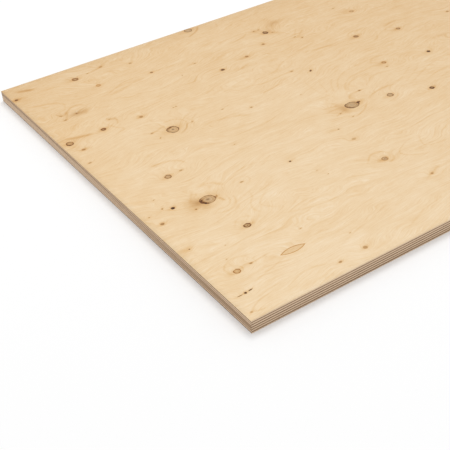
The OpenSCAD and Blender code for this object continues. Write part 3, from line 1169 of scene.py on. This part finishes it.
def inner_veneer_tree():
    """A flat veneer with sawn edges: a rectangle drawn up in rows, closed, and roughened inwards."""
    tree, given, end = new_group("inner_veneer", "GeometryNodeTree", {
        "Geometry": GEOMETRY, "Length": FLOAT, "Width": FLOAT, "Thickness": FLOAT, "Height": FLOAT,
        "Cuts": "NodeSocketInt", "Saw Depth": FLOAT, "Groove": FLOAT, "Seed": FLOAT, "Ply Tones": VECTOR,
        "Material": "NodeSocketMaterial",
    }, {"Geometry": GEOMETRY})

    def step(kind, inputs=None, **settings):
        return node_value(tree, "GeometryNode" + kind, inputs, **settings)

    thickness = given["Thickness"]
    outline = step("CurvePrimitiveQuadrilateral", {"Width": given["Length"], "Height": given["Width"]})
    divided = step("SubdivideCurve", {"Curve": outline, "Cuts": given["Cuts"]})
    wall = step("CurveToMesh", {"Curve": divided})
    top_row = {}
    levels = sorted(WALL_ROWS)
    for lower, upper in zip(levels, levels[1:]):
        lift = join(tree, z=thickness * (upper - lower))
        inputs = {"Mesh": wall, "Offset": lift, "Offset Scale": 1.0, **top_row}
        drawn = add_node(tree, "GeometryNodeExtrudeMesh", inputs, mode="EDGES").outputs
        wall = NodeValue(drawn["Mesh"])
        top_row = {"Selection": NodeValue(drawn["Top"])}
    cap = step("FillCurve", {"Curve": divided}, mode="TRIANGLES")
    upper_cap = step("Transform", {"Geometry": cap, "Translation": join(tree, z=thickness)})
    lower_cap = step("FlipFaces", {"Mesh": cap})
    joined = add_node(tree, "GeometryNodeJoinGeometry")
    for part in (wall, upper_cap, lower_cap):
        link_values(joined, {"Geometry": part})
    whole = NodeValue(joined.outputs[0])
    veneer = step("MergeByDistance", {"Geometry": whole, "Distance": MERGE_DISTANCE * MM})

    place = step("InputPosition")
    x, y, z = split(place)
    through = z / thickness
    for label, kind, value in (
        ("through", "FLOAT", through),
        ("ply_tones", "FLOAT_VECTOR", given["Ply Tones"]),
    ):
        inputs = {"Geometry": veneer, "Name": label, "Value": value}
        veneer = step("StoreNamedAttribute", inputs, data_type=kind, domain="POINT")
    noise_place = vector_math(tree, "ADD", {0: place, 1: join(tree, z=given["Seed"])})
    noise_inputs = {"Vector": noise_place, "Scale": SAW_MARK_SCALE, "Detail": 2.0}
    saw_marks = node_value(tree, "ShaderNodeTexNoise", noise_inputs)
    in_groove = calculate("GREATER_THAN", abs(through - 0.5), 0.48)
    inset = saw_marks * given["Saw Depth"] + in_groove * given["Groove"]

    def inward(position, size):
        at_edge = calculate("GREATER_THAN", abs(position) - size * 0.5, -EDGE_MARGIN * MM)
        return calculate("SIGN", position) * at_edge * inset * -1.0

    move = join(tree, inward(x, given["Length"]), inward(y, given["Width"]), given["Height"])
    placed = step("SetPosition", {"Geometry": veneer, "Offset": move})
    real = step("RealizeInstances", {"Geometry": placed})
    link_values(end, {"Geometry": step("SetMaterial", {"Geometry": real, "Material": given["Material"]})})
    return tree


def link_object(name, data):
    made = bpy.data.objects.new(name, data)
    bpy.context.scene.collection.objects.link(made)
    return made


def made_by_nodes(name, tree, values):
    """A plain mesh made by a geometry tree with the given values of its named inputs."""
    piece = link_object(name, bpy.data.meshes.new(name))
    modifier = piece.modifiers.new("veneer", "NODES")
    modifier.node_group = tree
    identifiers = {item.name: item.identifier for item in tree.interface.items_tree if item.in_out == "INPUT"}
    for label, value in values.items():
        modifier[identifiers[label]] = value
    bpy.context.view_layer.update()
    evaluated = piece.evaluated_get(bpy.context.evaluated_depsgraph_get())
    mesh = bpy.data.meshes.new_from_object(evaluated)
    piece.modifiers.clear()
    face_outwards(mesh)
    piece.data = mesh
    return piece


def add_piece(piece, node):
    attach(piece, "root")
    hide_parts(node)


# How much browner than the others a veneer is: on the sides, and at the near and far corner of the ends
PLY_TONES = {
    # The face veneer's tones on the sides and at the far corner of the ends are paler: partly its own tone,
    # partly a painted highlight along the top arris
    "face_veneer": (0.0, 0.45, -0.80),
    "cross_veneer_1": (-0.10, -0.05, 0.34),
    "core_veneer_1": (0.0, -0.65, 0.75),
    "cross_veneer_2": (0.0, 0.12, 0.32),
    "core_veneer_2": (0.0, -0.05, -0.65),
    "cross_veneer_3": (0.50, 1.05, -0.40),
    "core_veneer_3": (0.0, 0.05, -0.85),
    "cross_veneer_4": (0.0, 0.60, -0.45),
    "core_veneer_4": (0.20, -0.25, -1.05),
    "cross_veneer_5": (0.30, -0.06, -0.50),
    "back_veneer": (0.20, 0.35, -0.35),
}

# The tone and painted shade of the face change along its length up to here, and no more from here on
EVEN_FROM = 700


def face_brown_and_painted_shade(along, across):
    """The face darkens a little along its length and towards its far side: partly the wood's own tone, partly
    painted shade that darkens the face away from the near corner.
    """
    far_side = np.clip((across - 560) / 40, 0, 1)
    far_corner = np.exp(-along / 60) * np.clip((across - 440) / 80, 0, 1)
    slow = 0.00030 * np.minimum(along, EVEN_FROM) + 0.00018 * across - 0.06
    return slow + 0.08 * far_side + 0.07 * far_corner


def face_tan_and_painted_shade(along, across):
    """The face is warmer along its length, towards its far side and at its near end: the wood's own tone,
    with part of the painted shade that darkens the face away from the near corner.
    """
    run = np.minimum(along, EVEN_FROM)
    far_part = across / sheet_width
    lengthwise = 0.00035 * run + 0.0002 * run * (1 - 2 * far_part)
    return 0.12 + lengthwise + 0.36 * far_part ** 1.5 + 0.21 * np.exp(-along / 70)


def even(amount):
    """The same amount of brown or tan all over."""
    return lambda along, across: np.full_like(along, amount)


# Strewn marks start past the traced ones on the face, and stay off the ends
STREWN_FROM = 660
END_MARGIN = 10

strewn = strewn_marks(seed=17, count=48, along_from=STREWN_FROM, along_to=sheet_length - END_MARGIN)
traced = Marks(FACE_KNOTS, FACE_SPOTS, FACE_STAINS, FACE_STREAKS)
face_marks = Marks(*[first + second for first, second in zip(traced, strewn)])
back_marks = strewn_marks(seed=29, count=90, along_from=END_MARGIN, along_to=sheet_length - END_MARGIN)

face_mesh = outer_veneer(
    "knotty_face", face_low.z, face_high.z, face_marks, pocket=True, seed=11,
    ply_tones=PLY_TONES["face_veneer"], brown_base=face_brown_and_painted_shade, tan_base=face_tan_and_painted_shade,
)
back_mesh = outer_veneer(
    "back_face", back_high.z, back_low.z, back_marks, pocket=False, seed=57,
    ply_tones=PLY_TONES["back_veneer"], brown_base=even(0.04), tan_base=even(0.25),
)
insert_mesh = patch_mesh("boat_patch", seed=91, brown_base=even(0.04), tan_base=even(0.64))
for mesh, node, slot, materials in (
    (face_mesh, "face_veneer", "face_wood", (face_birch, long_grain_edge)),
    (back_mesh, "back_veneer", "back_wood", (back_birch, long_grain_edge)),
    (insert_mesh, "face_patch", "patch_wood", (patch_birch,)),
):
    for material in materials:
        mesh.materials.append(material)
    add_piece(link_object(mesh.name, mesh), node)

veneer_tree = inner_veneer_tree()
for number, node in enumerate(inner_names):
    low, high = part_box(node)
    is_cross = node.startswith("cross")
    piece = made_by_nodes("edge_of_" + node, veneer_tree, {
        "Length": high.x - low.x,
        "Width": high.y - low.y,
        "Thickness": high.z - low.z,
        "Height": low.z,
        "Cuts": EDGE_CUTS,
        "Saw Depth": INNER_SAW_DEPTH * MM,
        "Groove": PLY_GROOVE * MM,
        "Seed": 3.0 + number,
        "Ply Tones": PLY_TONES[node],
        "Material": cross_grain_edge if is_cross else long_grain_edge,
    })
    add_piece(piece, node)


# Studio

WHITE = (1.0, 1.0, 1.0, 1.0)
FLOOR_GREY = (0.80, 0.80, 0.80, 1.0)

# Glow of the floor near the sheet, and how much more it gets where the lamp is far
FLOOR_GLOW = 0.20
FAR_GLOW = 0.27
LAMP_FADES = (0.3, 6.5)


def seen_by(tree, *kinds):
    """One for the named kinds of ray and nought for the others."""
    rays = add_node(tree, "ShaderNodeLightPath").outputs
    first, *others = [NodeValue(rays[kind]) for kind in kinds]
    return sum(others, first)


def floor_material():
    """Pale floor that keeps the sheet's shadow, shows white to the camera and is open from below."""
    material = bpy.data.materials.new("studio_floor")
    material.use_nodes = True
    tree = material.node_tree
    tree.nodes.clear()
    paper = node_value(tree, "ShaderNodeBsdfDiffuse", {"Color": FLOOR_GREY})
    place = node_value(tree, "ShaderNodeTexCoord", output="Object")
    away = vector_math(tree, "LENGTH", {0: place}, "Value")
    level = FLOOR_GLOW + smooth_step(away, *LAMP_FADES) * FAR_GLOW
    glow = node_value(tree, "ShaderNodeEmission", {"Color": WHITE, "Strength": level})
    shown = node_value(tree, "ShaderNodeAddShader", {0: paper, 1: glow})
    seen = seen_by(tree, "Is Camera Ray", "Is Glossy Ray", "Is Transmission Ray")
    mixed = node_value(tree, "ShaderNodeMixShader", {0: seen, 1: paper, 2: shown})
    below = node_value(tree, "ShaderNodeNewGeometry", output="Backfacing")
    clear = node_value(tree, "ShaderNodeBsdfTransparent")
    open_below = node_value(tree, "ShaderNodeMixShader", {0: below, 1: mixed, 2: clear})
    add_node(tree, "ShaderNodeOutputMaterial", {"Surface": open_below})
    return material


# Half the width of the floor, its gap under the sheet, and how far it goes in under the sheet's rim
FLOOR_REACH = 12.0
FLOOR_GAP = 0.2 * MM
FLOOR_LEDGE = 3 * MM


def make_floor():
    """Wide floor a hair under the sheet, open under it so that light reaches the underside."""
    corners = ((-1, -1), (1, -1), (1, 1), (-1, 1))
    opening = (cad_high.x - FLOOR_LEDGE, cad_high.y - FLOOR_LEDGE)
    height = cad_low.z - FLOOR_GAP
    points = [(x * FLOOR_REACH, y * FLOOR_REACH, height) for x, y in corners]
    points += [(x * opening[0], y * opening[1], height) for x, y in corners]
    mesh = bpy.data.meshes.new("floor")
    mesh.from_pydata(points, [], [(0, 1, 5, 4), (1, 2, 6, 5), (2, 3, 7, 6), (3, 0, 4, 7)])
    mesh.materials.append(floor_material())
    link_object("floor", mesh)


# Light from all round, which is white where the camera sees it
ROOM_LIGHT = 0.72


def make_world():
    world = bpy.data.worlds.new("studio")
    bpy.context.scene.world = world
    world.use_nodes = True
    background = world.node_tree.nodes["Background"]
    background.inputs["Color"].default_value = WHITE
    seen = seen_by(world.node_tree, "Is Camera Ray", "Is Transmission Ray")
    link_values(background, {"Strength": ROOM_LIGHT + seen * (1.0 - ROOM_LIGHT)})


# The lamp: its place and what it points at in metres, its width and its power
LAMP_PLACE = Vector((0.9, 1.3, 4.1))
LAMP_TARGET = Vector((-0.2, 0.0, 0.0))
LAMP_WIDTH = 2.2
LAMP_POWER = 70


def make_lamp():
    lamp = bpy.data.lights.new("soft_box", "AREA")
    lamp.shape = "DISK"
    lamp.size = LAMP_WIDTH
    lamp.energy = LAMP_POWER
    holder = link_object("soft_box", lamp)
    holder.location = LAMP_PLACE
    holder.rotation_euler = (LAMP_TARGET - LAMP_PLACE).to_track_quat("-Z", "Y").to_euler()


# The camera of the photograph: its place in metres, where it points in degrees, its lens and its sensor
CAMERA_PLACE = (-0.9290, -0.8242, 0.5695)
CAMERA_HEADING = 59.33
CAMERA_DIP = 35.66
CAMERA_ROLL = -5.16
CAMERA_LENS = 72.42
CAMERA_SENSOR = 36


def make_camera():
    camera = bpy.data.cameras.new("camera")
    camera.lens = CAMERA_LENS
    camera.sensor_width = CAMERA_SENSOR
    holder = link_object("camera", camera)
    turn = Matrix.Rotation(math.radians(CAMERA_HEADING - 90), 4, "Z")
    tilt = Matrix.Rotation(math.radians(90 - CAMERA_DIP), 4, "X")
    roll = Matrix.Rotation(math.radians(CAMERA_ROLL), 4, "Z")
    holder.matrix_world = Matrix.Translation(CAMERA_PLACE) @ turn @ tilt @ roll
    bpy.context.scene.camera = holder


make_floor()
make_world()
make_lamp()
make_camera()
bpy.context.scene.view_settings.view_transform = "Standard"
